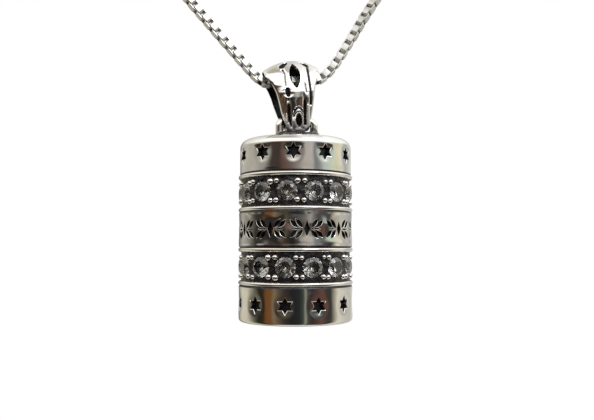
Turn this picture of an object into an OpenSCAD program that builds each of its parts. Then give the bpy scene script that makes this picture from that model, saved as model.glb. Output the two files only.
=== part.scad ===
// Cylindrical mezuzah case worn as a pendant: a silver tube for a rolled scroll, dressed with
// two rings of set stones, an engraved band and star-marked caps, on a bail and a box chain.
// Millimetres, +Z up, front towards -Y. The origin is the hang point: the place on the
// chain's centreline straight above the axis of the case.

/* [Case] */
// Radius of the centre band and the bottom cap
case_r = 6; // [5.95:0.05:6.1]
// Radius of the rails beside the stones
rail_r = 6.05; // [6:0.05:6.2]
// Radius of the top cap
top_cap_r = 5.9; // [5.8:0.05:5.95]
// Outside radius of the core tube, which every ring of the case sits on
tube_r = 4.7; // [4.6:0.05:4.75]
// Wall of the core tube
tube_wall = 0.4; // [0.3:0.05:0.5]
// Height of the top face of the case
case_top_z = -6.55; // [-7.2:0.05:-6.55]
// Radius of the top cap's upper edge
top_edge_r = 0.9; // [0.5:0.1:1]
// Radius of the bottom cap's lower edge
bottom_edge_r = 0.35; // [0.2:0.05:0.6]

/* [Heights] */
// Height of the top cap
top_cap_h = 3.75; // [3.2:0.05:4]
// Height of a ring of stones with its two rails
ring_h = 3.9; // [3.8:0.1:4.2]
// Height of the centre band
band_h = 3.7; // [3.4:0.1:4.2]
// Height of the bottom cap
bottom_cap_h = 3.8; // [3.7:0.1:4.2]
// Height of a rail
rail_h = 0.45; // [0.35:0.05:0.5]
// Thickness of the top cap's plate
top_plate = 1.1; // [1:0.1:1.4]
// How far the core tube reaches into the bottom cap
cap_grip = 3; // [2.5:0.1:3]

/* [Stones] */
// Stones in each ring
stone_count = 13; // [11:1:13]
// Girdle diameter of a stone
stone_d = 2.1; // [1.9:0.05:2.1]
// Distance of a stone's girdle from the axis
girdle_r = 5.65; // [5.65:0.05:5.75]
// Radius of a setting grain
grain_r = 0.3; // [0.2:0.05:0.3]
// Turn of the upper ring of stones
upper_turn = 8.3; // [0:0.1:27]
// Turn of the lower ring of stones
lower_turn = 6.5; // [0:0.1:27]

/* [Stars] */
// Stars round each cap
star_count = 11; // [8:1:12]
// Radius of a star at its points
star_r = 0.84; // [0.6:0.02:0.9]
// Depth of a sunk star
star_depth = 0.5; // [0.3:0.05:0.6]
// Turn of the top cap's stars
top_star_turn = -13; // [-30:1:30]
// Turn of the bottom cap's stars
bottom_star_turn = -21; // [-30:1:30]
// Distance of the stars' centres below the top edge of each cap
star_drop = 1.8; // [1.6:0.05:1.9]

/* [Band] */
// Repeats of the engraved leaf frieze
frieze_count = 10; // [8:1:10]
// Depth of the engraving
frieze_depth = 0.35; // [0.2:0.05:0.5]

/* [Bail] */
// Height of the hinge bar above the case's top face
bar_rise = 2.2; // [2.2:0.05:2.6]
// Radius of the hanging loop's wire
loop_wire_r = 0.43; // [0.35:0.01:0.44]
// Half the distance between the loop's legs, centre to centre
loop_half = 1.87; // [1.85:0.01:2]
// Outer radius of the bail's top bend
bail_top_r = 2.4; // [2.3:0.05:2.4]
// Outer radius of the bail's bottom bend
bail_bottom_r = 1.25; // [1.2:0.05:1.3]
// Sideways lean of the bail on the chain, in degrees
bail_lean = 6.5; // [5:0.5:6.5]

/* [Chain] */
// Thickness of the box chain over its corners
chain_d = 1.2; // [1:0.05:1.2]
// Radius of the spring ring's centreline
clasp_r = 2.3; // [2.2:0.1:2.6]

/* [Hidden] */

$fn = 96;

// Levels, from the top of the case down
upper_ring_z = case_top_z - top_cap_h;
band_z = upper_ring_z - ring_h;
lower_ring_z = band_z - band_h;
bottom_cap_z = lower_ring_z - ring_h;
case_bottom_z = bottom_cap_z - bottom_cap_h;
bar_z = case_top_z + bar_rise;
tube_top_z = case_top_z - top_plate;
tube_bottom_z = bottom_cap_z - cap_grip;

// Stones and their seats
floor_r = 5.75;
stone_r = stone_d / 2;
stone_crown = 0.36;
stone_table_r = 0.6;
stone_depth = 0.88;
girdle_half = 0.04;
seat_gap = 0.02;
grain_side = 0.33;
grain_rise = 0.95;
grain_centre_r = 5.75;

// Fits
cap_gap = 0.04;
cap_depth_gap = 0.05;
scroll_gap = 0.25;
scroll_r = tube_r - tube_wall - scroll_gap;
scroll_bore_r = 0.9;

// Hanging loop
loop_bend_r = 0.6;
loop_root = 0.6;
loop_foot_r = 0.35;
loop_foot_rise = 0.37;
loop_x = 0.14;

// Bail: half-width against height, from the bottom bend up to the crown
bail_widths = [
    [-5.7, 1.25], [-5.3, 1.29], [-4.66, 1.4], [-3.6, 1.68], [-1.6, 2.05], [0, 2.6], [1, 2.9], [1.9, 2.95]
];
// Sideways shift of the bail's middle against height
bail_shift = [[-5.7, 0.09], [-5.3, 0.09], [-4.5, 0.03], [-3.6, 0]];
// Front-to-back stretch of the bail against height, which makes it fullest below the middle
bail_swell = [
    [-5.6, 1], [-4.35, 1.06], [-3.5, 1.13], [-2.5, 1.17], [-1.6, 1.09], [-1, 0.99],
    [-0.5, 0.92], [0, 0.87], [0.5, 0.84], [1, 0.81], [2.2, 0.78]
];
bail_top_z = -0.25;
bail_eye_top_r = 1.85;
bail_eye_bottom_r = 0.62;
bail_dome = 0.88;
bail_eye_dome = 0.5;
bail_half_w = 2.95;
bend_steps = 18;
side_steps = 5;
foot_steps = 12;
cross_steps = 8;
pierce_x = 0.07;
pierce_z = 0.15;
pierce_r = 1.45;
pierce_half = 0.6;

// Chain: the route of its centreline, and its end fittings
route = [
    [-12.3, 0, 9.2], [-11.3, 0, 8.05], [-10.2, 0, 6.8], [-9.2, 0, 5.7], [-8.1, 0, 4.45],
    [-7, 0, 3.25], [-6.2, 0, 2.35], [-5.4, 0, 1.5], [-4.7, 0, 0.75], [-4.1, 0, 0.2],
    [-3.6, 0, -0.15], [-3.1, 0, -0.28], [-2, 0, -0.18], [-1, 0, -0.1], [0, 0, 0],
    [1, 0, 0.1], [2, 0, 0.2], [2.6, 0, 0.35], [3.2, 0, 0.75], [3.9, 0, 1.45],
    [4.7, 0, 2.55], [5.4, 0, 3.65], [6.1, 0, 4.8], [6.8, 0, 5.95], [7.4, 0, 7],
    [8.2, 0, 8.25], [9, 0, 9.5], [9.6, 0, 10.4]
];
chain_sides = 8;
end_cap_r = 0.75;
end_cap_h = 1.5;
eyelet_r = 0.62;
eyelet_wire_r = 0.24;
eyelet_z = 2.05;
jump_r = 1.3;
jump_wire_r = 0.3;
clasp_tube_r = 0.55;
clasp_bore_r = 0.42;
bolt_r = 0.36;
spring_r = 0.34;
clasp_z = eyelet_z + 2 * jump_r + 3.25;
gap_from = 60;
gap_to = 110;
bolt_travel = 40;
tab_angle = 101;
tab_r = 0.2;
slot_half = 0.28;

// A thing made at the front of a circle about the case's axis, repeated all round
module around(count, turn) {
    for (i = [0 : count - 1]) {
        rotate([0, 0, turn + i * 360 / count]) children();
    }
}

// Puts a drawing that faces +Z on the front, facing -Y, with its zero at the given radius
module on_front(radius, z) {
    translate([0, -radius, z]) rotate([90, 0, 0]) children();
}

// A tube about the case's axis
module tube(outer, inner, low, high) {
    translate([0, 0, low]) difference() {
        cylinder(r = outer, h = high - low);
        translate([0, 0, -1]) cylinder(r = inner, h = high - low + 2);
    }
}

// An arc as points, from one angle to another
function arc(centre, radius, from, to, steps) = [
    for (i = [0 : steps])
        let (a = from + (to - from) * i / steps)
        centre + radius * [cos(a), sin(a)]
];

// A six-pointed star's outline
function star_points(radius) =
    [for (i = [0 : 11]) (i % 2 == 0 ? radius : radius / sqrt(3)) * [sin(30 * i), cos(30 * i)]];

// The sunk stars of a cap, to be cut from it
module stars(radius, z, turn) {
    around(star_count, turn) {
        on_front(radius - star_depth, z) linear_extrude(2) polygon(star_points(star_r));
    }
}

module top_cap() {
    low = upper_ring_z;
    rim = top_cap_r - top_edge_r;
    outline = concat(
        [[0, case_top_z - top_plate], [tube_r, case_top_z - top_plate], [tube_r, low], [top_cap_r, low]],
        arc([rim, case_top_z - top_edge_r], top_edge_r, 0, 90, 6),
        [[0, case_top_z]]
    );
    color("gainsboro") difference() {
        rotate_extrude() polygon(outline);
        stars(top_cap_r, case_top_z - star_drop, top_star_turn);
        for (side = [-1, 1]) {
            translate([loop_x + side * loop_half, 0, case_top_z - loop_root]) cylinder(r = loop_wire_r, h = 2);
        }
    }
}

// A quarter bend of the loop's wire, on the +X side
module loop_bend() {
    translate([loop_half - loop_bend_r, 0, bar_z - loop_bend_r]) rotate([90, 0, 0])
        rotate_extrude(angle = 90) translate([loop_bend_r, 0]) circle(r = loop_wire_r);
}

module hanging_loop() {
    bar = loop_half - loop_bend_r;
    leg_low = case_top_z - loop_root;
    leg_h = bar_z - loop_bend_r - leg_low;
    color("gainsboro") translate([loop_x, 0, 0]) {
        translate([-bar, 0, bar_z]) rotate([0, 90, 0]) cylinder(r = loop_wire_r, h = 2 * bar);
        // the foot bar that joins the legs just above the cap
        translate([-loop_half, 0, case_top_z + loop_foot_rise]) rotate([0, 90, 0])
            cylinder(r = loop_foot_r, h = 2 * loop_half);
        for (side = [0, 1]) {
            mirror([side, 0, 0]) {
                loop_bend();
                translate([loop_half, 0, leg_low]) cylinder(r = loop_wire_r, h = leg_h);
            }
        }
    }
}

// The bail's strip follows the outline round two bends. A station is [normal angle, share of the
// way from the top bend's centre to the bottom bend's centre].
side_slope = asin((bail_top_r - bail_bottom_r) / (bail_top_z - bar_z));
function station(i) =
    let (a = side_slope, b = i - bend_steps, c = b - side_steps, d = c - foot_steps)
    i < bend_steps ? [-a + (180 + 2 * a) * i / bend_steps, 0]
    : b < side_steps ? [180 + a, b / side_steps]
    : c < foot_steps ? [180 + a + (180 - 2 * a) * c / foot_steps, 1]
    : [360 - a, 1 - d / side_steps];
function blend(a, b, share) = a + (b - a) * share;

// A point of the strip: s is its station, u goes from -1 to 1 across, inner is 1 on the eye's side
function strip_point(s, u, inner) =
    let (
        share = s[1],
        centre = blend(bail_top_z, bar_z, share),
        outer = blend(bail_top_r, bail_bottom_r, share),
        level = centre + outer * sin(s[0]),
        width = lookup(level, bail_widths),
        bulge = pow(u * width / bail_half_w, 2),
        eye = blend(bail_eye_top_r, bail_eye_bottom_r, share),
        radius = inner == 0 ? outer - bail_dome * bulge : eye - bail_eye_dome * (1 - share) * bulge,
        z = centre + radius * sin(s[0])
    )
    [lookup(level, bail_shift) + u * width, radius * cos(s[0]) * lookup(z, bail_swell), z];

module bail() {
    count = bend_steps + foot_steps + 2 * side_steps;
    row = 2 * (cross_steps + 1);
    points = [
        for (i = [0 : count - 1])
            for (j = [0 : row - 1])
                j <= cross_steps
                    ? strip_point(station(i), -1 + 2 * j / cross_steps, 0)
                    : strip_point(station(i), 1 - 2 * (j - cross_steps - 1) / cross_steps, 1)
    ];
    faces = [
        for (i = [0 : count - 1])
            for (j = [0 : row - 1])
                let (n = (i + 1) % count, k = (j + 1) % row)
                each [
                    [i * row + j, i * row + k, n * row + k],
                    [i * row + j, n * row + k, n * row + j]
                ]
    ];
    side_r = (pierce_r * pierce_r + pierce_half * pierce_half) / (2 * pierce_half);
    lean = [0, -bail_lean, 0];
    color("silver") translate([0, 0, bar_z]) rotate(lean) translate([0, 0, -bar_z]) difference() {
        polyhedron(points, faces);
        // pierced marquise at the front of the crown
        translate([pierce_x, -bail_eye_bottom_r, pierce_z]) rotate([90, 0, 0]) linear_extrude(4)
            intersection_for (side = [-1, 1]) {
                translate([side * (side_r - pierce_half), 0]) circle(r = side_r);
            }
    }
}

module core_tube() {
    color("silver") tube(tube_r, tube_r - tube_wall, tube_bottom_z, tube_top_z);
}

// One round stone, facing +Z, its girdle at zero
module stone() {
    rotate_extrude() polygon([
        [0, -stone_depth], [stone_r, -girdle_half], [stone_r, girdle_half],
        [stone_table_r, stone_crown], [0, stone_crown]
    ]);
}

// The seat that is cut for a stone
module seat() {
    rotate_extrude() polygon([
        [0, -stone_depth - seat_gap], [stone_r + seat_gap, -girdle_half], [stone_r + seat_gap, 2], [0, 2]
    ]);
}

// A ring with a seat for each stone and four setting grains between neighbours
module setting_ring(low, turn) {
    middle = low + ring_h / 2;
    difference() {
        union() {
            tube(floor_r, tube_r, low, low + ring_h);
            around(stone_count, turn + 180 / stone_count) {
                for (x = [-grain_side, grain_side], z = [-grain_rise, grain_rise]) {
                    translate([x, -grain_centre_r, middle + z]) sphere(r = grain_r);
                }
            }
        }
        around(stone_count, turn) on_front(girdle_r, middle) seat();
    }
}

module stones(low, turn) {
    around(stone_count, turn) on_front(girdle_r, low + ring_h / 2) stone();
}

// A rail with bevelled edges, from the given level up
module rail(low) {
    bevel = 0.1;
    translate([0, 0, low]) rotate_extrude() polygon([
        [floor_r, 0], [rail_r - bevel, 0], [rail_r, bevel],
        [rail_r, rail_h - bevel], [rail_r - bevel, rail_h], [floor_r, rail_h]
    ]);
}

module upper_setting_ring() {
    color("dimgray") setting_ring(band_z, upper_turn);
}

module upper_top_rail() {
    color("gainsboro") rail(upper_ring_z - rail_h);
}

module upper_bottom_rail() {
    color("gainsboro") rail(band_z);
}

module upper_stones() {
    color("azure") stones(band_z, upper_turn);
}

module lower_setting_ring() {
    color("dimgray") setting_ring(bottom_cap_z, lower_turn);
}

module lower_top_rail() {
    color("gainsboro") rail(lower_ring_z - rail_h);
}

module lower_bottom_rail() {
    color("gainsboro") rail(bottom_cap_z);
}

module lower_stones() {
    color("azure") stones(bottom_cap_z, lower_turn);
}

// A pointed leaf between two arcs
module leaf(length, width) {
    radius = (length * length + width * width) / (4 * width);
    intersection_for (side = [-1, 1]) {
        translate([0, side * (radius - width / 2)]) circle(r = radius);
    }
}

// One repeat of the frieze: a lozenge with two leaves on each side
module frieze_repeat() {
    polygon([[0, -0.8], [0.34, 0], [0, 0.8], [-0.34, 0]]);
    for (side = [-1, 1], rise = [-1, 1]) {
        translate([side * 1.02, rise * 0.52]) rotate(side * rise * 42) leaf(1.3, 0.5);
    }
}

module centre_band() {
    color("silver") difference() {
        tube(case_r, tube_r, lower_ring_z, band_z);
        around(frieze_count, 0) {
            on_front(case_r - frieze_depth, lower_ring_z + band_h / 2) linear_extrude(2) frieze_repeat();
        }
    }
}

module bottom_cap() {
    low = case_bottom_z;
    bore = tube_r + cap_gap;
    bore_low = tube_bottom_z - cap_depth_gap;
    outline = concat(
        [[0, low]],
        arc([case_r - bottom_edge_r, low + bottom_edge_r], bottom_edge_r, -90, 0, 5),
        [[case_r, bottom_cap_z], [bore, bottom_cap_z], [bore, bore_low], [0, bore_low]]
    );
    color("gainsboro") difference() {
        rotate_extrude() polygon(outline);
        stars(case_r, bottom_cap_z - star_drop, bottom_star_turn);
    }
}

module scroll() {
    color("wheat") tube(scroll_r, scroll_bore_r, tube_bottom_z + 0.2, tube_top_z - 0.8);
}

// Direction of the route at a point, as an angle in the XZ plane
function heading(i) =
    let (d = route[min(i + 1, len(route) - 1)] - route[max(i - 1, 0)])
    atan2(d[2], d[0]);

module chain() {
    n = len(route);
    points = [
        for (i = [0 : n - 1])
            for (j = [0 : chain_sides - 1])
                let (a = 360 * (j + 0.5) / chain_sides, h = heading(i), r = chain_d / 2)
                route[i] + r * [-sin(h) * cos(a), sin(a), cos(h) * cos(a)]
    ];
    sides = [
        for (i = [0 : n - 2])
            for (j = [0 : chain_sides - 1])
                let (k = (j + 1) % chain_sides, a = i * chain_sides, b = a + chain_sides)
                [a + j, a + k, b + k, b + j]
    ];
    ends = [
        [for (j = [chain_sides - 1 : -1 : 0]) j],
        [for (j = [0 : chain_sides - 1]) (n - 1) * chain_sides + j]
    ];
    color("whitesmoke") polyhedron(points, concat(sides, ends));
}

// Puts a fitting that points up on an end of the chain: end is 0 on the left, 1 on the right
module at_end(end) {
    last = len(route) - 1;
    d = end == 0 ? route[0] - route[1] : route[last] - route[last - 1];
    translate(end == 0 ? route[0] : route[last]) rotate([0, atan2(d[0], d[2]), 0]) children();
}

// A ring of round wire, standing in the XZ plane
module wire_ring(radius, wire_r) {
    rotate([90, 0, 0]) rotate_extrude() translate([radius, 0]) circle(r = wire_r);
}

// A cup that holds the chain's last link, with an eyelet on its head
module end_cap() {
    cylinder(r = end_cap_r, h = end_cap_h);
    translate([0, 0, eyelet_z]) wire_ring(eyelet_r, eyelet_wire_r);
}

// A jump ring through the eyelet, standing across it
module jump_ring() {
    translate([0, 0, eyelet_z + jump_r]) rotate([0, 0, 90]) wire_ring(jump_r, jump_wire_r);
}

// An arc of round section about the clasp's centre, between two angles from local +X
module clasp_arc(section_r, from, to) {
    translate([0, 0, clasp_z]) rotate([90, 0, 0]) rotate([0, 0, from])
        rotate_extrude(angle = to - from) translate([clasp_r, 0]) circle(r = section_r);
}

module left_end_cap() {
    color("gainsboro") at_end(0) end_cap();
}

module left_jump_ring() {
    color("gainsboro") at_end(0) jump_ring();
}

module right_end_cap() {
    color("gainsboro") at_end(1) end_cap();
}

module right_end_ring() {
    color("gainsboro") at_end(1) jump_ring();
}

// The spring ring's tube, open at its mouth, slotted for the thumb tab, with its eye below
module clasp_body() {
    color("gainsboro") at_end(0) difference() {
        union() {
            clasp_arc(clasp_tube_r, gap_to, gap_from + 360);
            translate([0, 0, eyelet_z + 2 * jump_r]) wire_ring(eyelet_r, eyelet_wire_r);
        }
        clasp_arc(clasp_bore_r, gap_to - 10, gap_to + 110);
        clasp_arc(clasp_bore_r, gap_from - 15, gap_from + 2);
        translate([0, 0, clasp_z]) rotate([90, 0, 0]) rotate([0, 0, tab_angle])
            rotate_extrude(angle = bolt_travel + 8) {
                translate([clasp_r, -slot_half]) square([1, 2 * slot_half]);
            }
    }
}

// The curved bolt that closes the mouth, with its thumb tab
module clasp_bolt() {
    color("gainsboro") at_end(0) {
        clasp_arc(bolt_r, gap_from - 10, gap_to + 20);
        translate([0, 0, clasp_z]) rotate([0, -tab_angle, 0]) translate([clasp_r, 0, 0]) rotate([0, 90, 0])
            cylinder(r = tab_r, h = 1);
    }
}

// The coil spring behind the bolt, as the space that it fills
module clasp_spring() {
    color("silver") at_end(0) clasp_arc(spring_r, gap_to + 22, gap_to + 105);
}

top_cap();
hanging_loop();
bail();
core_tube();
upper_setting_ring();
upper_top_rail();
upper_bottom_rail();
upper_stones();
centre_band();
lower_setting_ring();
lower_top_rail();
lower_bottom_rail();
lower_stones();
bottom_cap();
scroll();
chain();
left_end_cap();
left_jump_ring();
clasp_body();
clasp_bolt();
clasp_spring();
right_end_cap();
right_end_ring();
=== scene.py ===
"""Looks for the mezuzah case pendant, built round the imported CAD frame.

The case's caps, band and stone rings are rebuilt as fine meshes with real pockets, seats and
grains, the bail gets its relief, and the chain its box links. Shape helpers work in
millimetres and write metres. The front is towards -Y and the camera stands a little left of it.
"""

import math

import bpy
import numpy as np
from mathutils import Matrix, Vector, geometry, noise


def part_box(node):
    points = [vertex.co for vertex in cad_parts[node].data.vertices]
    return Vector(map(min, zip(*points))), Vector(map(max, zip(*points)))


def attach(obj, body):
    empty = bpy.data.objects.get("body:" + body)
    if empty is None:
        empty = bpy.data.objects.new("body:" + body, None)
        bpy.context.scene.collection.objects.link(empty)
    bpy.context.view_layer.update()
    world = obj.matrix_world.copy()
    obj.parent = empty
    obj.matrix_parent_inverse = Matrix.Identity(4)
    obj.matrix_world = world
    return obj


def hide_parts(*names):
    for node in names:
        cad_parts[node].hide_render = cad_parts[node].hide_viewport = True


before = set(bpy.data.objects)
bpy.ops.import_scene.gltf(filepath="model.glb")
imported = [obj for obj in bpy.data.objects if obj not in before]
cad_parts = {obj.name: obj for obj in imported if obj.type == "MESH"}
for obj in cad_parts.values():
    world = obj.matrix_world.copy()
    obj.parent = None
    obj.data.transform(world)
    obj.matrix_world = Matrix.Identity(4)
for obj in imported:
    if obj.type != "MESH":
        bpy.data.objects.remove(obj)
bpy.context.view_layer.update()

MM = 0.001
VIEW_TURN = math.radians(-11)  # the camera's place round the case, from -Y towards +X


# ---- camera

CAMERA_DISTANCE = 0.072
CAMERA_HEIGHT = -0.01795
FOCAL_OVER_WIDTH = 1.137542  # focal length over sensor width
SENSOR = 36.0
PITCH = math.radians(3.22)
AIM_RIGHT = math.radians(0.13)


def make_camera():
    data = bpy.data.cameras.new("camera")
    data.sensor_width = SENSOR
    data.lens = SENSOR * FOCAL_OVER_WIDTH
    data.clip_start = 0.002
    data.clip_end = 5.0
    camera = bpy.data.objects.new("camera", data)
    camera.location = (
        CAMERA_DISTANCE * math.sin(VIEW_TURN),
        -CAMERA_DISTANCE * math.cos(VIEW_TURN),
        CAMERA_HEIGHT,
    )
    camera.rotation_euler = (math.pi / 2 + PITCH, 0, VIEW_TURN - AIM_RIGHT)
    bpy.context.scene.collection.objects.link(camera)
    bpy.context.scene.camera = camera


make_camera()


# ---- the chain's route

# The centreline of the chain, as in the CAD source, in metres
ROUTE = [
    Vector(p) * MM
    for p in [
        (-12.3, 0, 9.2), (-11.3, 0, 8.05), (-10.2, 0, 6.8), (-9.2, 0, 5.7), (-8.1, 0, 4.45),
        (-7, 0, 3.25), (-6.2, 0, 2.35), (-5.4, 0, 1.5), (-4.7, 0, 0.75), (-4.1, 0, 0.2),
        (-3.6, 0, -0.15), (-3.1, 0, -0.28), (-2, 0, -0.18), (-1, 0, -0.1), (0, 0, 0),
        (1, 0, 0.1), (2, 0, 0.2), (2.6, 0, 0.35), (3.2, 0, 0.75), (3.9, 0, 1.45),
        (4.7, 0, 2.55), (5.4, 0, 3.65), (6.1, 0, 4.8), (6.8, 0, 5.95), (7.4, 0, 7),
        (8.2, 0, 8.25), (9, 0, 9.5), (9.6, 0, 10.4),
    ]
]  # fmt: skip


def smooth_route(points, per_span=12):
    """A Catmull-Rom curve through the points, as a dense list."""
    ends = [2 * points[0] - points[1], *points, 2 * points[-1] - points[-2]]
    dense = []
    for a, b, c, d in zip(ends, ends[1:], ends[2:], ends[3:], strict=False):
        for k in range(per_span):
            t = k / per_span
            curve = 2 * b + (c - a) * t + (2 * a - 5 * b + 4 * c - d) * t**2
            dense.append(0.5 * (curve + (3 * b - a - 3 * c + d) * t**3))
    return [*dense, points[-1]]


# ---- mesh helpers

WELD = 2e-4  # points that round to the same multiple of this, in millimetres, are joined


def step(low, high, x):
    """0 below low, 1 above high, and a smooth slope between."""
    t = min(max((x - low) / (high - low), 0.0), 1.0)
    return t * t * (3 - 2 * t)


class Build:
    """Collects faces in millimetres. A face's corners may carry exact normals."""

    def __init__(self):
        self.points = []
        self.faces = []
        self.kinds = []
        self.normals = []

    def add(self, points, faces, kind=0, normals=None):
        start = len(self.points)
        self.points += [tuple(p) for p in points]
        for face in faces:
            self.faces.append([start + i for i in face])
            self.kinds.append(kind)
            self.normals.append(None if normals is None else [normals[i] for i in face])

    def turned(self, angle):
        """A copy of everything, turned about the case's axis."""
        c, s = math.cos(angle), math.sin(angle)

        def turn(points):
            return [(c * x - s * y, s * x + c * y, z) for x, y, z in points]

        copy = Build()
        copy.points = turn(self.points)
        copy.faces, copy.kinds = [list(f) for f in self.faces], list(self.kinds)
        copy.normals = [None if n is None else turn(n) for n in self.normals]
        return copy

    def join(self, other):
        start = len(self.points)
        self.points += other.points
        self.faces += [[start + i for i in f] for f in other.faces]
        self.kinds += other.kinds
        self.normals += other.normals

    def object(self, name, materials, body, slot, stands_for=(), sharp=35, marks=None):
        """Joins points that meet, and makes the piece. marks is a function of the points that gives a
        number from 0 to 1 for each, kept as the attribute "mark" for the material."""
        points = np.array(self.points)
        keys = np.round(points / WELD).astype(np.int64)
        _, first, back = np.unique(keys, axis=0, return_index=True, return_inverse=True)
        back = back.reshape(-1)
        faces, kinds, normals = [], [], []
        for face, kind, normal in zip(self.faces, self.kinds, self.normals, strict=True):
            joined = [int(back[i]) for i in face]
            keep = [k for k in range(len(joined)) if joined[k] != joined[k - 1]]
            if len(keep) < 3:
                continue
            faces.append([joined[k] for k in keep])
            kinds.append(kind)
            normals.append(None if normal is None else [normal[k] for k in keep])
        mesh = bpy.data.meshes.new(name)
        mesh.from_pydata([tuple(p) for p in points[first] * MM], [], faces)
        for material in materials:
            mesh.materials.append(material)
        mesh.polygons.foreach_set("material_index", np.array(kinds, np.int32))
        mesh.polygons.foreach_set("use_smooth", np.ones(len(faces), bool))
        mesh.update()
        mesh.set_sharp_from_angle(angle=math.radians(sharp))
        if marks is not None:
            layer = mesh.attributes.new("mark", "FLOAT", "POINT")
            layer.data.foreach_set("value", np.asarray(marks(points[first]), np.float32))
        if any(n is not None for n in normals):
            corner = np.zeros(len(mesh.loops) * 3, np.float32)
            mesh.corner_normals.foreach_get("vector", corner)
            corner = corner.reshape(-1, 3)
            at = 0
            for face, normal in zip(faces, normals, strict=True):
                if normal is not None:
                    corner[at : at + len(face)] = normal
                at += len(face)
            mesh.normals_split_custom_set([tuple(n) for n in corner])
        piece = bpy.data.objects.new(name, mesh)
        bpy.context.scene.collection.objects.link(piece)
        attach(piece, body)
        if stands_for:
            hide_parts(*stands_for)
        return piece


def lathe(profile, steps, start=0.0, kind=0, kinds=None):
    """A surface turned about the case's axis. profile is (radius, z) pairs, with the solid on its left
    as it is followed; kinds gives each stretch its own material."""
    made = Build()
    for k, ((r0, z0), (r1, z1)) in enumerate(zip(profile, profile[1:], strict=False)):
        points = []
        for i in range(steps + 1):
            a = start + 2 * math.pi * i / steps
            s, c = math.sin(a), -math.cos(a)
            points += [(r0 * s, r0 * c, z0), (r1 * s, r1 * c, z1)]
        faces = [[2 * i, 2 * i + 2, 2 * i + 3, 2 * i + 1] for i in range(steps)]
        made.add(points, faces, kind if kinds is None else kinds[k])
    return made


def arc(centre, radius, start, end, steps):
    """Points (radius, z) along an arc, with angles in degrees from outwards towards up."""
    angles = [math.radians(start + (end - start) * i / steps) for i in range(steps + 1)]
    return [(centre[0] + radius * math.cos(a), centre[1] + radius * math.sin(a)) for a in angles]


def offset_outline(outline, distance):
    """The outline moved outwards by distance, with mitred corners. It runs counter-clockwise."""
    points = np.array(outline, float)
    before, after = np.roll(points, 1, 0), np.roll(points, -1, 0)
    d0, d1 = points - before, after - points
    d0 /= np.linalg.norm(d0, axis=1)[:, None]
    d1 /= np.linalg.norm(d1, axis=1)[:, None]
    n0, n1 = np.stack([d0[:, 1], -d0[:, 0]], 1), np.stack([d1[:, 1], -d1[:, 0]], 1)
    middle = n0 + n1
    middle /= np.maximum((middle * n0).sum(1), 0.35)[:, None]
    return points + distance * middle


def inside(points, outline):
    """Which points lie inside the outline."""
    x, y = points[:, 0][:, None], points[:, 1][:, None]
    a, b = np.array(outline), np.roll(np.array(outline), -1, 0)
    crosses = (a[:, 1] > y) != (b[:, 1] > y)
    slope = np.where(b[:, 1] == a[:, 1], 1e-12, b[:, 1] - a[:, 1])
    where = (b[:, 0] - a[:, 0]) * (y - a[:, 1]) / slope + a[:, 0]
    return (crosses & (x < where)).sum(1) % 2 == 1


def distance_to(points, outline):
    """Distance of each point from the outline's edge."""
    a, b = np.array(outline, float), np.roll(np.array(outline, float), -1, 0)
    d = b - a
    rel = points[:, None, :] - a[None]
    t = np.clip((rel * d).sum(2) / (d * d).sum(1), 0, 1)
    return np.linalg.norm(rel - t[..., None] * d, axis=2).min(1)


def triangulate(points, edges):
    """Points and triangles with the edges kept, and where each point that was given has gone."""
    made = geometry.delaunay_2d_cdt([Vector(p) for p in points], edges, [], 0, 1e-7)
    back = {}
    for new, olds in enumerate(made[3]):
        for old in olds:
            back[old] = new
    return np.array([tuple(v) for v in made[0]]), [list(f) for f in made[2]], back


def cut_sheet(x_range, y_range, steps, outlines, clear=0.4):
    """A rectangle, divided by a grid, with outlines cut out of it exactly.
    Returns its points, its triangles and each outline's points as indices."""
    nx, ny = steps
    xs = np.linspace(*x_range, nx + 1)
    ys = np.linspace(*y_range, ny + 1)
    cell = min(xs[1] - xs[0], ys[1] - ys[0])
    grid = np.array([(x, y) for y in ys for x in xs])
    border = np.array([i in (0, nx) or j in (0, ny) for j in range(ny + 1) for i in range(nx + 1)])
    keep = np.ones(len(grid), bool)
    for outline in outlines:
        near = (distance_to(grid, outline) < clear * cell) | inside(grid, outline)
        keep &= ~near | border
    points = [tuple(p) for p in grid[keep]]
    edges, stretches = [], []
    for outline in outlines:
        start, n = len(points), len(outline)
        points += [tuple(p) for p in outline]
        edges += [(start + i, start + (i + 1) % n) for i in range(n)]
        stretches.append(range(start, start + n))
    flat, triangles, back = triangulate(points, edges)
    centres = np.array([flat[t].mean(0) for t in triangles])
    outside = np.ones(len(centres), bool)
    for outline in outlines:
        outside &= ~inside(centres, outline)
    rings = [[back[i] for i in stretch] for stretch in stretches]
    return flat, [t for t, k in zip(triangles, outside, strict=True) if k], rings


def fill(outline, spacing):
    """The inside of an outline as points and triangles, the outline's own points first."""
    outline = np.array(outline)
    low, high = outline.min(0), outline.max(0)
    xs = np.arange(low[0], high[0], spacing)
    ys = np.arange(low[1], high[1], spacing)
    grid = np.array([(x, y) for x in xs for y in ys])
    grid = grid[inside(grid, outline) & (distance_to(grid, outline) > 0.5 * spacing)]
    n = len(outline)
    points = [tuple(p) for p in outline] + [tuple(p) for p in grid]
    flat, triangles, _ = triangulate(points, [(i, (i + 1) % n) for i in range(n)])
    centres = np.array([flat[t].mean(0) for t in triangles])
    keep = inside(centres, outline)
    return flat, [t for t, k in zip(triangles, keep, strict=True) if k]


def ring_faces(outer, inner):
    """Faces between two rings of the same number of points, given as indices."""
    n = len(outer)
    return [[outer[i], outer[(i + 1) % n], inner[(i + 1) % n], inner[i]] for i in range(n)]


def grid_faces(rows, columns, loop_rows=False, loop_columns=True):
    """Quads over points that are given row by row. A looped direction closes on itself."""
    faces = []
    for i in range(rows if loop_rows else rows - 1):
        here, after = i * columns, (i + 1) % rows * columns
        for k in range(columns if loop_columns else columns - 1):
            beside = (k + 1) % columns
            faces.append([here + k, here + beside, after + beside, after + k])
    return faces


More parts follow.
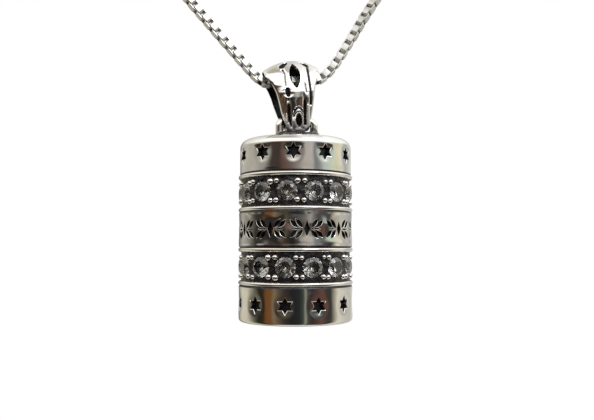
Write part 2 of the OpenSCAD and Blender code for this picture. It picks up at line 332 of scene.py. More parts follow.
def flipped(faces):
    """The same faces, looking the other way."""
    return [[face[0], *face[:0:-1]] for face in faces]


# ---- walls with pockets

CELL = 0.16  # spacing of the grid that a wall is drawn on
FLOOR_CELL = 0.3  # and of the grid on a pocket's floor


class Wall:
    """The outer wall of a round shell: its radius, the slight waves that hand polishing leaves, and
    how it is dished round the pockets. Both fade out at its top and bottom edges."""

    def __init__(self, radius, z_range, wave, swell, seed, dish=None):
        """dish is the dish's height, depth and size."""
        self.radius, self.low, self.high = radius, *z_range
        self.wave, self.swell, self.seed, self.dish = wave, swell, seed, dish
        self.panel = 0.0

    def depth(self, x, z):
        """How far the wall lies inside its radius, x along it and z up."""
        turn = self.panel + x / self.radius
        place = Vector((math.sin(turn), math.cos(turn), z / self.radius)) * (self.radius / self.swell)
        found = self.wave * noise.noise(place + Vector((0, 0, 7.3 * self.seed)))
        if self.dish:
            middle, depth, size = self.dish
            d2 = (x**2 + (z - middle) ** 2) / size**2
            found += depth * math.exp(-d2 * d2)
        return found * step(0, 0.3, z - self.low) * step(0, 0.3, self.high - z)

    def point(self, x, z, deeper=0.0):
        a = x / self.radius
        r = self.radius - deeper - self.depth(x, z)
        return (r * math.sin(a), -r * math.cos(a), z)

    def normal(self, x, z):
        a, e = x / self.radius, 0.02
        along = (self.depth(x + e, z) - self.depth(x - e, z)) / (2 * e)
        up = (self.depth(x, z + e) - self.depth(x, z - e)) / (2 * e)
        n = Vector((math.sin(a) + along * math.cos(a), -math.cos(a) + along * math.sin(a), up))
        return tuple(n.normalized())


def walled(wall, count, turn, pockets, bevel, draft):
    """The wall all the way round, as count equal panels. pockets are (outline, depth) pairs in one
    panel. Kind 0 is the wall and its bevels, and kind 1 the pockets' sides and floors."""
    width = 2 * math.pi * wall.radius / count
    steps = (round(width / CELL), round((wall.high - wall.low) / CELL))
    outer = [offset_outline(outline, bevel) for outline, _ in pockets]
    flat, triangles, rings = cut_sheet((-width / 2, width / 2), (wall.low, wall.high), steps, outer)
    floors = [offset_outline(outline, -draft) for outline, _ in pockets]
    filled = [fill(floor, FLOOR_CELL) for floor in floors]
    whole = Build()
    for k in range(count):
        wall.panel = turn + 2 * math.pi * k / count
        panel = Build()
        points = [wall.point(x, z) for x, z in flat]
        panel.add(points, triangles, 0, [wall.normal(x, z) for x, z in flat])
        parts = zip(rings, floors, filled, pockets, strict=True)
        for ring, floor, (inner, faces), (outline, depth) in parts:
            n = len(ring)
            edge = [wall.point(x, z, 0.8 * bevel) for x, z in outline]
            low = [wall.point(x, z, depth) for x, z in floor]
            panel.add([points[i] for i in ring] + edge, ring_faces(range(n), range(n, 2 * n)), 0)
            panel.add(edge + low, ring_faces(range(n), range(n, 2 * n)), 1)
            panel.add([wall.point(x, z, depth) for x, z in inner], faces, 1)
        whole.join(panel.turned(wall.panel))
    return whole, steps[0] * count


def star(centre, radius):
    """A six-pointed star with one point up, counter-clockwise."""
    outline = []
    for k in range(12):
        reached = radius if k % 2 == 0 else radius / math.sqrt(3)
        turn = math.radians(30 * k)
        outline.append((centre[0] - reached * math.sin(turn), centre[1] + reached * math.cos(turn)))
    return outline


def circle(centre, radius, steps=40):
    angles = [2 * math.pi * i / steps for i in range(steps)]
    return [(centre[0] + radius * math.cos(a), centre[1] + radius * math.sin(a)) for a in angles]


def leaf(centre, length, width, angle, steps=8):
    """A pointed leaf between two arcs, turned by angle, counter-clockwise."""
    half = [(length * (i / steps - 0.5), -width / 2 * math.sin(math.pi * i / steps)) for i in range(steps)]
    outline = half + [(-x, -y) for x, y in half]
    c, s = math.cos(angle), math.sin(angle)
    return [(centre[0] + c * x - s * y, centre[1] + s * x + c * y) for x, y in outline]


# ---- materials


def material(name):
    made = bpy.data.materials.new(name)
    made.use_nodes = True
    tree = made.node_tree
    return made, tree, tree.nodes["Principled BSDF"]


def put(tree, socket, value):
    """Gives a socket a constant number or colour, or the output of another node."""
    if isinstance(value, (int, float)):
        socket.default_value = value
    elif isinstance(value, tuple):
        socket.default_value = (*value, 1)
    else:
        tree.links.new(value, socket)


def settle(tree, shader, inputs):
    """Gives several of a node's inputs their values, by name."""
    for name, value in inputs.items():
        put(tree, shader.inputs[name], value)


def node(tree, kind, **settings):
    made = tree.nodes.new(kind)
    for key, value in settings.items():
        if key in made.inputs:
            made.inputs[key].default_value = value
        else:
            setattr(made, key, value)
    return made


def millimetres(tree, stretch=(1, 1, 1)):
    """The object's coordinates in millimetres."""
    where = node(tree, "ShaderNodeTexCoord")
    scaled = node(tree, "ShaderNodeMapping")
    scaled.inputs["Scale"].default_value = tuple(1000 * s for s in stretch)
    tree.links.new(where.outputs["Object"], scaled.inputs["Vector"])
    return scaled.outputs["Vector"]


def noise_of(tree, vector, scale, detail=3.0, rough=0.5):
    made = node(tree, "ShaderNodeTexNoise", Scale=scale, Detail=detail, Roughness=rough)
    tree.links.new(vector, made.inputs["Vector"])
    return made.outputs["Fac"]


def ramp(tree, factor, stops):
    """A colour ramp with stops of (position, colour)."""
    made = node(tree, "ShaderNodeValToRGB")
    elements = made.color_ramp.elements
    while len(elements) < len(stops):
        elements.new(0.5)
    for element, (position, colour) in zip(elements, stops, strict=True):
        element.position = position
        element.color = (*colour, 1)
    tree.links.new(factor, made.inputs["Fac"])
    return made.outputs["Color"]


def spread(tree, factor, low, high):
    """The middle stretch of a noise, from 0.3 to 0.7, spread from low to high."""
    made = node(tree, "ShaderNodeMapRange")
    settle(tree, made, {"Value": factor, "From Min": 0.3, "From Max": 0.7, "To Min": low, "To Max": high})
    return made.outputs["Result"]


def bump(tree, height, strength, distance):
    made = node(tree, "ShaderNodeBump", Strength=strength, Distance=distance)
    tree.links.new(height, made.inputs["Height"])
    return made.outputs["Normal"]


def silver(name, light, dark, rough, scratch=0.25, metallic=1.0):
    """Polished silver: clouds of faint tarnish, fine polishing scratches, uneven gloss."""
    made, tree, shader = material(name)
    mm = millimetres(tree)
    clouds = noise_of(tree, mm, 0.9, 5.0, 0.6)
    scratches = noise_of(tree, millimetres(tree, (1.0, 1.0, 14.0)), 2.5, 6.0, 0.7)
    inputs = {
        "Base Color": ramp(tree, clouds, [(0.35, dark), (0.62, light)]),
        "Roughness": spread(tree, noise_of(tree, mm, 2.2, 4.0), *rough),
        "Normal": bump(tree, scratches, scratch, 0.000004),
        "Metallic": metallic,
    }
    settle(tree, shader, inputs)
    return made


def marked_silver(name, light, dark):
    """Cast silver whose hollows are blackened and whose inner face carries painted shade: the attribute
    "mark" says where.
    """
    made, tree, shader = material(name)
    mm = millimetres(tree)
    mark = node(tree, "ShaderNodeAttribute", attribute_name="mark")
    grain = noise_of(tree, mm, 5.0, 5.0, 0.6)
    uneven = node(tree, "ShaderNodeMath", operation="MULTIPLY_ADD")
    for socket, value in zip(uneven.inputs, (grain, 0.5, mark.outputs["Fac"]), strict=True):
        put(tree, socket, value)
    # Blackened hollows, and painted shade on the inner face, made a little uneven at random.
    blackening_and_shade = uneven.outputs[0]
    grey = tuple(0.45 * c for c in light)
    gloss = [(0.4, (0.09, 0.09, 0.09)), (0.9, (0.42, 0.42, 0.42))]
    inputs = {
        "Base Color": ramp(tree, blackening_and_shade, [(0.42, light), (0.62, grey), (0.85, dark)]),
        "Roughness": ramp(tree, blackening_and_shade, gloss),
        "Normal": bump(tree, noise_of(tree, mm, 9.0, 4.0), 0.25, 0.000006),
        "Metallic": 1.0,
    }
    settle(tree, shader, inputs)
    return made


def oxide_and_shade_finish(name, light):
    """Blackened silver, used both as real oxide and as painted shade: near black, a little blue and brown,
    satin. light makes it paler.
    """
    made, tree, shader = material(name)
    mm = millimetres(tree)
    stain = noise_of(tree, mm, 3.0, 5.0, 0.65)
    stops = [(0.3, (0.018, 0.018, 0.024)), (0.55, (0.04, 0.037, 0.04)), (0.8, (0.14, 0.135, 0.13))]
    inputs = {
        "Base Color": ramp(tree, stain, [(at, tuple(c * light for c in colour)) for at, colour in stops]),
        "Roughness": spread(tree, noise_of(tree, mm, 6.0), 0.2, 0.42),
        "Normal": bump(tree, noise_of(tree, mm, 12.0, 4.0), 0.4, 0.00001),
        "Metallic": 0.7,
    }
    settle(tree, shader, inputs)
    return made


def crystal():
    """Clear colourless stone, its light tinted grey as painted shade from the dark setting seen through it.
    """
    made, tree, shader = material("crystal")
    grey_shade = noise_of(tree, millimetres(tree), 1.3, 2.0)
    inputs = {
        "Base Color": ramp(tree, grey_shade, [(0.3, (0.42, 0.44, 0.45)), (0.7, (0.6, 0.6, 0.58))]),
        "Transmission Weight": 1.0,
        "Roughness": 0.1,
        "IOR": 1.8,
        "Coat Weight": 0.6,
        "Coat Roughness": 0.01,
    }
    settle(tree, shader, inputs)
    return made


def parchment():
    made, tree, shader = material("parchment")
    fibres = noise_of(tree, millimetres(tree, (1.0, 1.0, 0.25)), 6.0, 6.0, 0.65)
    browns = [(0.3, (0.5, 0.38, 0.2)), (0.5, (0.72, 0.6, 0.39)), (0.75, (0.82, 0.72, 0.53))]
    inputs = {
        "Base Color": ramp(tree, fibres, browns),
        "Roughness": spread(tree, noise_of(tree, millimetres(tree), 4.0), 0.55, 0.8),
        "Normal": bump(tree, fibres, 0.35, 0.00003),
    }
    settle(tree, shader, inputs)
    return made


POLISHED = silver("polished_silver", (0.96, 0.95, 0.93), (0.88, 0.865, 0.83), (0.025, 0.07))
CHAIN_SILVER = silver("chain_silver", (0.84, 0.84, 0.81), (0.74, 0.74, 0.7), (0.22, 0.36), 0.2, 0.6)
FROSTED = silver("frosted_silver", (0.96, 0.96, 0.94), (0.9, 0.89, 0.87), (0.25, 0.4), 0.25, 0.15)
TUBE_SILVER = silver("drawn_silver", (0.93, 0.92, 0.9), (0.82, 0.8, 0.77), (0.14, 0.26), 0.8)
CAST = marked_silver("cast_silver", (0.95, 0.94, 0.92), (0.02, 0.02, 0.024))
# Real oxide in the sunk stars and the frieze; on the seam bevels between the rings the same dark finish is
# painted shadow.
OXIDE_AND_PAINTED_SHADE = oxide_and_shade_finish("blackened_silver", 1.3)
# The insides of the chain's links: painted shade, darker than the silver outside.
CHAIN_PAINTED_SHADE = oxide_and_shade_finish("chain_inside_painted_shade", 6.0)
# Dark finish of the solder mound: painted shade under the bail's foot.
SOLDER_PAINTED_SHADE = oxide_and_shade_finish("solder_painted_shade", 2.0)
# A dark finish on the cap's top plate: painted shade, so the plate and the bail's lower faces that reflect
# it read dark.
TOP_PLATE_SHADE = oxide_and_shade_finish("top_plate_painted_shade", 3.2)
CRYSTAL = crystal()
PARCHMENT = parchment()


# ---- sizes, from the frame


def rounded(value):
    """A CAD measure in millimetres."""
    return round(value / MM, 3)


def span(name):
    low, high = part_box(name)
    return rounded(low.z), rounded(high.z)


def reach(name):
    """The radius of a round node about the case's axis."""
    low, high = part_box(name)
    return rounded((high.x - low.x) / 2)


CASE_TOP = span("top_cap")[1]
TUBE_R = reach("core_tube")
FLOOR_R = 5.75
GRAIN_R, GRAIN_X, GRAIN_Z = 5.78, 0.33, 0.95  # where the grains of a four stand, out and from its middle
STAR_R = 0.84
STAR_COUNT = 11
STAR_DEPTH = 0.5
STONE_COUNT = 13
STONE_R = 1.05
GIRDLE_R = 5.65
SEAM = 0.14  # bevel where the rings of the case meet, darkened as painted shadow in the gap
SEAM_IN = 0.6 * SEAM  # how far that bevel reaches inwards
STAR_DROP = 1.8
TOP_STAR_TURN = math.radians(-13)
BOTTOM_STAR_TURN = math.radians(-21)
UPPER_TURN, LOWER_TURN = 8.3, 6.5  # where the first stone of each row stands, in degrees


def cap_wall(name, low, high, star_z, turn, seed):
    """The straight wall of a cap, with its sunk stars."""
    wall = Wall(reach(name), (low, high), 0.03, 2.2, seed, dish=(star_z, 0.07, 0.95))
    pockets = [(star((0, star_z), STAR_R), STAR_DEPTH)]
    return walled(wall, STAR_COUNT, turn, pockets, bevel=0.05, draft=0.12)


def make_top_cap():
    low, high = span("top_cap")
    radius, edge, plate, border = reach("top_cap"), 0.9, 1.1, 0.2
    made, steps = cap_wall("top_cap", low + SEAM, high - edge, high - STAR_DROP, TOP_STAR_TURN, 1)
    start = TOP_STAR_TURN - math.pi / STAR_COUNT
    corner = arc((radius - edge, high - edge), edge, 1, 90, 12)
    top = [(radius, high - edge), (radius, high - edge + 0.01), *corner]
    made.join(lathe(top, steps, start))
    field = radius - edge - border
    made.join(lathe([(radius - edge, high), (field, high)], steps, start))
    # The plate inside the border takes the dark finish: painted shade under the bail.
    made.join(lathe([(field, high), (0, high)], steps, start, kind=2))
    seam = [(TUBE_R, low), (radius - SEAM_IN, low), (radius, low + SEAM)]
    # The seam bevel takes the dark finish: painted shadow in the gap under the next ring.
    made.join(lathe(seam, steps, start, kind=1))
    inner = [(0, high - plate), (TUBE_R, high - plate), (TUBE_R, low)]
    made.join(lathe(inner, steps, start))
    finishes = [POLISHED, OXIDE_AND_PAINTED_SHADE, TOP_PLATE_SHADE]
    made.object("top_cap_shell", finishes, "case_body", "polished_silver", ["top_cap"])


def make_bottom_cap():
    low, high = span("bottom_cap")
    high -= 0.02  # so that the mouth doesn't lie in the plane of the ring above it
    radius, edge = reach("bottom_cap"), 0.35
    bore, bore_low = 4.74, span("core_tube")[0] - 0.05
    made, steps = cap_wall("bottom_cap", low + edge, high - SEAM, high - STAR_DROP, BOTTOM_STAR_TURN, 2)
    start = BOTTOM_STAR_TURN - math.pi / STAR_COUNT
    corner = arc((radius - edge, low + edge), edge, -84, -6, 8)
    base = [(0, low), (radius - edge, low), *corner, (radius, low + edge)]
    made.join(lathe(base, steps, start))
    mouth = [(radius, high - SEAM), (radius - SEAM_IN, high), (bore + 0.05, high), (bore, high - 0.05)]
    # The seam bevel and the mouth take the dark finish: painted shadow in the gap under the ring above.
    made.join(lathe(mouth, steps, start, kinds=[1, 1, 0]))
    made.join(lathe([(bore, high - 0.05), (bore, bore_low), (0, bore_low)], steps, start))
    made.object("bottom_cap_shell", [POLISHED, OXIDE_AND_PAINTED_SHADE], "cap_body", "polished_silver", ["bottom_cap"])


def frieze():
    """One repeat of the frieze: a lozenge, a stem and leaves in pairs on both sides of it."""
    found = [([(0, -0.8), (0.3, 0), (0, 0.8), (-0.3, 0)], 0.4)]
    for side in (-1, 1):
        for x, rise, length, wide, angle in ((0.78, 0.53, 1.15, 0.42, 52), (1.33, 0.5, 1.05, 0.4, 48)):
            for up in (-1, 1):
                turn = math.radians(angle) * side * up
                found.append((leaf((side * x, up * rise), length, wide, turn), 0.35))
        found.append((leaf((side * 1.0, 0), 1.0, 0.16, 0), 0.25))
    return found


def make_centre_band():
    low, high = span("centre_band")
    count, radius = 10, reach("centre_band")
    middle = (low + high) / 2
    wall = Wall(radius, (low + SEAM, high - SEAM), 0.05, 1.3, seed=3, dish=(middle, 0.04, 1.4))
    pockets = [([(x, y + middle) for x, y in outline], depth) for outline, depth in frieze()]
    made, steps = walled(wall, count, 0.0, pockets, bevel=0.025, draft=0.05)
    start = -math.pi / count
    for a, b in (((TUBE_R, low), (radius, low + SEAM)), ((radius, high - SEAM), (TUBE_R, high))):
        corner = (radius - SEAM_IN, low if a[1] == low else high)
        # The seam bevels take the dark finish: painted shadow in the gaps where the band meets its
        # neighbours.
        made.join(lathe([a, corner, b], steps, start, kind=1))
    made.object("frieze_band", [POLISHED, OXIDE_AND_PAINTED_SHADE], "case_body", "cast_silver", ["centre_band"])


def bead(radius, spin):
    """A setting grain: a round bead on a short flared foot, facing -Y at the origin."""
    profile = [(radius * 1.25, -0.32), (radius * 1.02, -0.12), (radius, 0.0)]
    profile += arc((0, 0), radius, 15, 90, 5)
    made = lathe(profile, 12, spin, kinds=[1] + [0] * (len(profile) - 2))
    made.points = [(x, -z, -y) for x, y, z in made.points]
    made.faces = flipped(made.faces)
    return made


def moved(build, place, spot):
    """A copy of a drawing that faces -Y, put on the wall at angle place and at spot (x, radius, z)."""
    copy = Build()
    copy.join(build)
    copy.points = [(x + spot[0], y - spot[1], z + spot[2]) for x, y, z in build.points]
    return copy.turned(place)


def make_setting_ring(name, turn, seed):
    low, high = span(name)
    middle = (low + high) / 2
    spacing = 2 * math.pi / STONE_COUNT
    wall = Wall(FLOOR_R, (low, high), 0.06, 0.5, seed)
    seat = circle((0, middle), STONE_R + 0.02)
    pockets = [(seat, 0.95)]
    made, steps = walled(wall, STONE_COUNT, math.radians(turn), pockets, bevel=0.03, draft=0.6)
    made.kinds = [1] * len(made.kinds)
    start = math.radians(turn) - spacing / 2
    made.join(lathe([(TUBE_R, low), (FLOOR_R, low)], steps, start, kind=1))
    made.join(lathe([(FLOOR_R, high), (TUBE_R, high), (TUBE_R, low)], steps, start, kind=1))
    fours = [(x, z) for z in (-GRAIN_Z, GRAIN_Z) for x in (-GRAIN_X, GRAIN_X)]
    for i in range(STONE_COUNT):
        for j, (x, z) in enumerate(fours):
            wobble = [noise.noise(Vector((i * 3.1 + seed, j * 5.3, k * 7.7))) for k in range(3)]
            grain = bead(0.28 + 0.12 * wobble[0], i + j)
            place = math.radians(turn) + (i + 0.5) * spacing
            spot = (x + 0.2 * wobble[1], GRAIN_R + 0.06 * wobble[2], middle + z + 0.12 * wobble[2])
            made.join(moved(grain, place, spot))
    made.object(name + "_grains", [POLISHED, OXIDE_AND_PAINTED_SHADE], "case_body", "blackened_silver", [name])


def brilliant():
    """A round brilliant cut facing -Y, its girdle at the origin: flat facets, in millimetres."""
    rg, rt, top, girdle, deep = STONE_R, 0.62, 0.36, 0.04, 0.86
    made = Build()

    def at(radius, eighths, height):
        a = math.pi / 4 * eighths
        return (radius * math.sin(a), -height, radius * math.cos(a))

    share = 0.55
    rm = (rt + (rg - rt) * share) / math.cos(math.pi / 8)
    zm = top + (girdle - top) * share
    rp = 0.3
    zp = -deep + (deep - girdle) * rp * math.cos(math.pi / 8) / rg
    for k in range(8):
        table, after = at(rt, k, top), at(rt, k + 1, top)
        middle, before = at(rm, k + 0.5, zm), at(rm, k - 0.5, zm)
        corner, half, beyond = at(rg, k, girdle), at(rg, k + 0.5, girdle), at(rg, k + 1, girdle)
        culet, main, other = (0, deep, 0), at(rp, k + 0.5, zp), at(rp, k - 0.5, zp)
        corner_low, half_low = at(rg, k, -girdle), at(rg, k + 0.5, -girdle)
        beyond_low = at(rg, k + 1, -girdle)
        for face in (
            [(0, -top, 0), table, after],
            [table, middle, after],
            [table, before, corner, middle],
            [middle, corner, half],
            [middle, half, beyond],
            [corner, corner_low, half_low, half],
            [half, half_low, beyond_low, beyond],
            [corner_low, main, half_low],
            [half_low, main, beyond_low],
            [corner_low, other, culet, main],
        ):
            made.add(face, [list(range(len(face)))])
    return made


def outward(build):
    """Turns each face so that it looks away from the middle of the drawing."""
    centre = np.mean(build.points, axis=0)
    for face in build.faces:
        p = np.array([build.points[i] for i in face])
        n = np.cross(p[1] - p[0], p[2] - p[0])
        if n @ (p.mean(0) - centre) < 0:
            face.reverse()
    return build


def make_stones(name, ring, turn):
    low, high = span(ring)
    stone = outward(brilliant())
    made = Build()
    for i in range(STONE_COUNT):
        spin = 0.7 * i * i  # no two stones catch the light alike
        c, s = math.cos(spin), math.sin(spin)
        spun = Build()
        spun.join(stone)
        spun.points = [(c * x - s * z, y, s * x + c * z) for x, y, z in stone.points]
        place = math.radians(turn) + 2 * math.pi * i / STONE_COUNT
        made.join(moved(spun, place, (0, GIRDLE_R, (low + high) / 2)))
    made.object(name + "_brilliants", [CRYSTAL], "case_body", "zirconia", [name], sharp=2)


def make_rail(name):
    low, high = span(name)
    middle, half, outer = (low + high) / 2, (high - low) / 2, reach(name)
    profile = [(FLOOR_R - 0.1, low), *arc((outer - half, middle), half, -90, 90, 12), (FLOOR_R - 0.1, high)]
    made = lathe(profile, 160)
    made.object(name + "_wire", [POLISHED], "case_body", "polished_silver", [name])


# ---- bail

BAIL = {
    "top_z": -0.25, "bottom_z": -4.35, "top_r": 2.4, "bottom_r": 1.25,
    "eye_top": 1.85, "eye_bottom": 0.62, "dome": 0.88, "eye_dome": 0.5, "half_w": 2.95,
    "lean": math.radians(6.5),
}  # fmt: skip
WIDTH_AT = ((-5.7, -5.3, -4.66, -3.6, -1.6, 0, 1, 1.9), (1.25, 1.29, 1.4, 1.68, 2.05, 2.6, 2.9, 2.95))
SHIFT_AT = ((-5.7, -5.3, -4.5, -3.6), (0.09, 0.09, 0.03, 0))
# How much the bail is stretched from front to back at each height
SWELL_AT = (
    (-5.6, -4.35, -3.5, -2.5, -1.6, -1, -0.5, 0, 0.5, 1, 2.2),
    (1, 1.06, 1.13, 1.17, 1.09, 0.99, 0.92, 0.87, 0.84, 0.81, 0.78),
)
SLOPE = math.asin((BAIL["top_r"] - BAIL["bottom_r"]) / (BAIL["top_z"] - BAIL["bottom_z"]))
TOP_ARC = BAIL["top_r"] * (math.pi / 2 + SLOPE)
SIDE = (BAIL["top_z"] - BAIL["bottom_z"]) * math.cos(SLOPE)
FOOT_ARC = BAIL["bottom_r"] * (math.pi / 2 - SLOPE)
HALF_LOOP = TOP_ARC + SIDE + FOOT_ARC
SHEET_W = 2.0  # half the width of the sheet that the strip is drawn on
PIERCE = {"x": 0.07, "z": 0.15, "r": 1.45, "half": 0.6}


def bail_station(t):
    """Where the strip's outer face is, t along it from the crown, positive down the front:
    (angle of its normal from up, share of the way from the top bend to the bottom bend)."""
    way = abs(t)
    if way <= TOP_ARC:
        found = (way / BAIL["top_r"], 0.0)
    elif way <= TOP_ARC + SIDE:
        found = (math.pi / 2 + SLOPE, (way - TOP_ARC) / SIDE)
    else:
        found = (math.pi / 2 + SLOPE + (way - TOP_ARC - SIDE) / BAIL["bottom_r"], 1.0)
    return (math.copysign(found[0], t), found[1])


def mixed(a, b, share):
    return a + (b - a) * share


def bail_level(t):
    """Height of the outer face, by which its width and its sideways shift are looked up."""
    angle, share = bail_station(t)
    centre = mixed(BAIL["top_z"], BAIL["bottom_z"], share)
    return centre + mixed(BAIL["top_r"], BAIL["bottom_r"], share) * math.cos(angle)


def bail_width(t):
    return float(np.interp(bail_level(t), *WIDTH_AT))


def bail_point(u, t, inner, lift=0.0):
    """A point of the strip before it leans: u from -1 to 1 across, lift out of the surface."""
    angle, share = bail_station(t)
    width = bail_width(t)
    centre = mixed(BAIL["top_z"], BAIL["bottom_z"], share)
    if inner:
        radius = mixed(BAIL["eye_top"], BAIL["eye_bottom"], share)
        radius -= BAIL["eye_dome"] * (1 - share) * (u * width / BAIL["half_w"]) ** 2
    else:
        radius = mixed(BAIL["top_r"], BAIL["bottom_r"], share)
        radius -= BAIL["dome"] * (width / BAIL["half_w"]) ** 2 * u * u
    radius += lift
    z = centre + radius * math.cos(angle)
    x = u * width + float(np.interp(bail_level(t), *SHIFT_AT))
    return (x, -radius * math.sin(angle) * float(np.interp(z, *SWELL_AT)), z)


# The relief's cuts, t down the front from the crown: each is a depth from 0 to 1, a sharpness, how
# long its upper end fades in, and (t, x, half-width) along it, in millimetres
CUTS = (
    (1.0, 6, 0.1, [
        (0.7, -0.5, 0.16), (1.05, -0.66, 0.36), (1.5, -0.9, 0.5), (1.85, -1.06, 0.42), (2.3, -1.12, 0.14),
    ]),
    (0.9, 2, 0.2, [(2.25, -1.1, 0.16), (2.5, -1.1, 0.2), (2.8, -1.06, 0.14)]),
    (0.5, 2, 0.5, [(2.2, -1.12, 0.24), (3.0, -0.98, 0.3), (4.0, -1.06, 0.3), (4.75, -1.05, 0.24)]),
    (0.3, 2, 0.6, [(2.0, -1.1, 0.2), (3.0, -1.04, 0.42), (4.0, -1.04, 0.42), (5.0, -1.0, 0.3)]),
    (1.0, 4, 0.2, [(4.6, -0.98, 0.1), (5.0, -0.95, 0.28), (5.4, -0.92, 0.32), (5.8, -0.9, 0.12)]),
    (1.0, 6, 0.2, [(0.7, 1.16, 0.34), (1.4, 1.44, 0.42), (2.15, 1.64, 0.2)]),
    (0.64, 2, 0.4, [
        (1.8, 1.62, 0.26), (3.0, 1.58, 0.27), (4.0, 1.56, 0.28), (5.0, 1.56, 0.28), (6.9, 1.42, 0.2),
    ]),
    (0.3, 2, 0.8, [(1.8, 1.2, 0.2), (3.0, 1.2, 0.34), (4.0, 1.16, 0.4), (4.8, 1.1, 0.42), (5.6, 1.1, 0.3)]),
    (0.5, 2, 0.4, [(3.9, 1.02, 0.14), (4.8, 1.06, 0.28), (5.6, 1.08, 0.14)]),
    (0.66, 2, 1.3, [(5.5, -0.97, 0.2), (6.5, -0.95, 0.34), (8.0, -0.9, 0.32), (9.0, -0.78, 0.16)]),
    (0.66, 2, 1.3, [
        (5.1, 0.72, 0.2), (6.2, 0.78, 0.34), (7.5, 0.76, 0.34), (8.6, 0.72, 0.28), (9.0, 0.7, 0.14),
    ]),
    (0.5, 2, 0.25, [(6.3, 1.16, 0.1), (7.0, 1.15, 0.18), (8.6, 1.02, 0.16), (9.1, 0.95, 0.08)]),
    (0.35, 2, 0.6, [(5.3, -1.62, 0.18), (6.5, -1.5, 0.2), (7.6, -1.35, 0.17), (8.7, -1.18, 0.1)]),
)  # fmt: skip
OVAL = {"x": 0.06, "t": 8.15, "half_x": 0.4, "half_t": 0.78}  # the small sunk oval below the marquise
ARCH = (1.3, 1.85)  # the groove round the oval's upper half, as multiples of its size
SHOULDER = 2.4  # how far a cut's rounded shoulders reach, as a multiple of its half-width
SHOULDER_DEPTH = 0.28  # and how deep they start, as a share of the cut's depth
RELIEF_DEPTH = 0.24
HAMMER = 0.03  # how far the cast surface wavers
CURL = 0.34  # how far the strip's long edges round off, as a share of its thickness
CURL_FROM = 0.9  # and where that starts, as a share of the way to the edge
INNER_SHADE = 0.7  # painted shade on the bail's inner face, as a mark from 0 to 1
# How far the front stands out, by t
BELLY = ((4.0, 4.6, 5.2, 5.8, 8.3, 8.9, 9.5), (0, 0.06, 0.15, 0.2, 0.2, 0.08, 0))
# Raised beads at the foot: (x, t, half-width, half-height)
BEADS = ((-0.02, 9.1, 0.52, 0.28), (-0.8, 9.05, 0.26, 0.26), (0.78, 9.0, 0.26, 0.26))
BEAD_SINK = 0.08
# The raised rim along the foot and up the right side: (x, t)
RIM = (
    (-1.12, 8.5), (-1.02, 8.95), (-0.75, 9.22), (-0.4, 9.36), (0, 9.4), (0.4, 9.36), (0.75, 9.2),
    (0.98, 8.85), (1.08, 8.3), (1.14, 7.4), (1.18, 6.75),
)  # fmt: skip
RIM_HALF, RIM_HEIGHT = 0.17, 0.12
RIM_FROM = 6  # the rim is looked for below this t


def along(form, t):
    """The place across and the half-width of a cut at t."""
    ts, xs, ws = zip(*form, strict=True)
    return float(np.interp(t, ts, xs)), float(np.interp(t, ts, ws))


def bail_cut(x, t):
    """Depth of the relief from 0 to 1 at a place, t down the front from the crown."""
    depths = [0.0]
    for depth, power, fade_in, form in CUTS:
        middle, half = along(form, t)
        fade = step(form[0][0], form[0][0] + fade_in, t) * (1 - step(form[-1][0] - 0.3, form[-1][0], t))
        away = abs(x - middle) / half
        depths.append(depth * fade * (1 - min(away, 1.0) ** power) ** 1.5)
        depths.append(SHOULDER_DEPTH * depth * fade * (1 - min(away / SHOULDER, 1.0) ** 2) ** 2)
    off = math.hypot((x - OVAL["x"]) / OVAL["half_x"], (t - OVAL["t"]) / OVAL["half_t"])
    depths.append((1 - min(off, 1.0) ** 4) ** 1.5)
    # The arch ends beside the oval's middle, and stays close to it
    middle, half = (ARCH[0] + ARCH[1]) / 2, (ARCH[1] - ARCH[0]) / 2
    over = (1 - min(abs(off - middle) / half, 1.0) ** 2) ** 1.5
    depths.append(0.6 * over * (1 - step(7.2, 7.9, t)) * (1 - step(0.45, 0.65, abs(x - OVAL["x"]))))
    return max(depths)


def bail_rim(x, t):
    """How far the raised rim stands out at a place."""
    away = RIM_HALF
    for (x0, t0), (x1, t1) in zip(RIM, RIM[1:], strict=False):
        share = ((x - x0) * (x1 - x0) + (t - t0) * (t1 - t0)) / ((x1 - x0) ** 2 + (t1 - t0) ** 2)
        share = min(max(share, 0.0), 1.0)
        away = min(away, math.hypot(x - mixed(x0, x1, share), t - mixed(t0, t1, share)))
    return RIM_HEIGHT * (1 - (away / RIM_HALF) ** 2)


def on_rim(corners):
    """Whether a face of the sheet, given by its corners, belongs to the raised rim."""
    x, t = np.mean(corners, axis=0)
    return t > RIM_FROM and bail_rim(x / SHEET_W * bail_width(t), t) > 0.1 * RIM_HEIGHT


def foot_bead(x, t, half_x, half_t):
    """A flattened bead, sunk a little more than half into the bail's face."""
    centre = Vector(bail_point(x / bail_width(t), t, False, -BEAD_SINK))
    below = Vector(bail_point(x / bail_width(t), t + 0.1, False, -BEAD_SINK))
    down = (below - centre).normalized()
    out = down.cross(Vector((1, 0, 0))).normalized()
    rings, sides = 12, 20
    points = []
    for i in range(rings + 1):
        a = math.pi * i / rings
        for k in range(sides):
            b = 2 * math.pi * k / sides
            place = centre + Vector((half_x * math.cos(a), 0, 0))
            place += half_t * math.sin(a) * (math.cos(b) * down + math.sin(b) * out)
            points.append(tuple(place))
    return points, grid_faces(rings + 1, sides)


def front_t(x, z):
    """How far down the front the outer face reaches height z, at x across."""
    low, high = 0.1, TOP_ARC + SIDE
    for _ in range(40):
        t = (low + high) / 2
        if bail_point(x / bail_width(t), t, False)[2] > z:
            low = t
        else:
            high = t
    return t


def pierced_outline(steps=22):
    """The marquise, counter-clockwise on the sheet."""
    side = (PIERCE["r"] ** 2 + PIERCE["half"] ** 2) / (2 * PIERCE["half"])
    found = []
    for turn in (1, -1):
        for i in range(steps):
            z = turn * PIERCE["r"] * math.cos(math.pi * i / steps)
            x = PIERCE["x"] - turn * (math.sqrt(side**2 - z * z) - side + PIERCE["half"])
            t = front_t(x, PIERCE["z"] + z)
            found.append((x / bail_width(t) * SHEET_W, t))
    return found


def weld_key(point):
    """The same for all points that are joined into one."""
    return tuple(np.round(np.array(point) / WELD).astype(int))


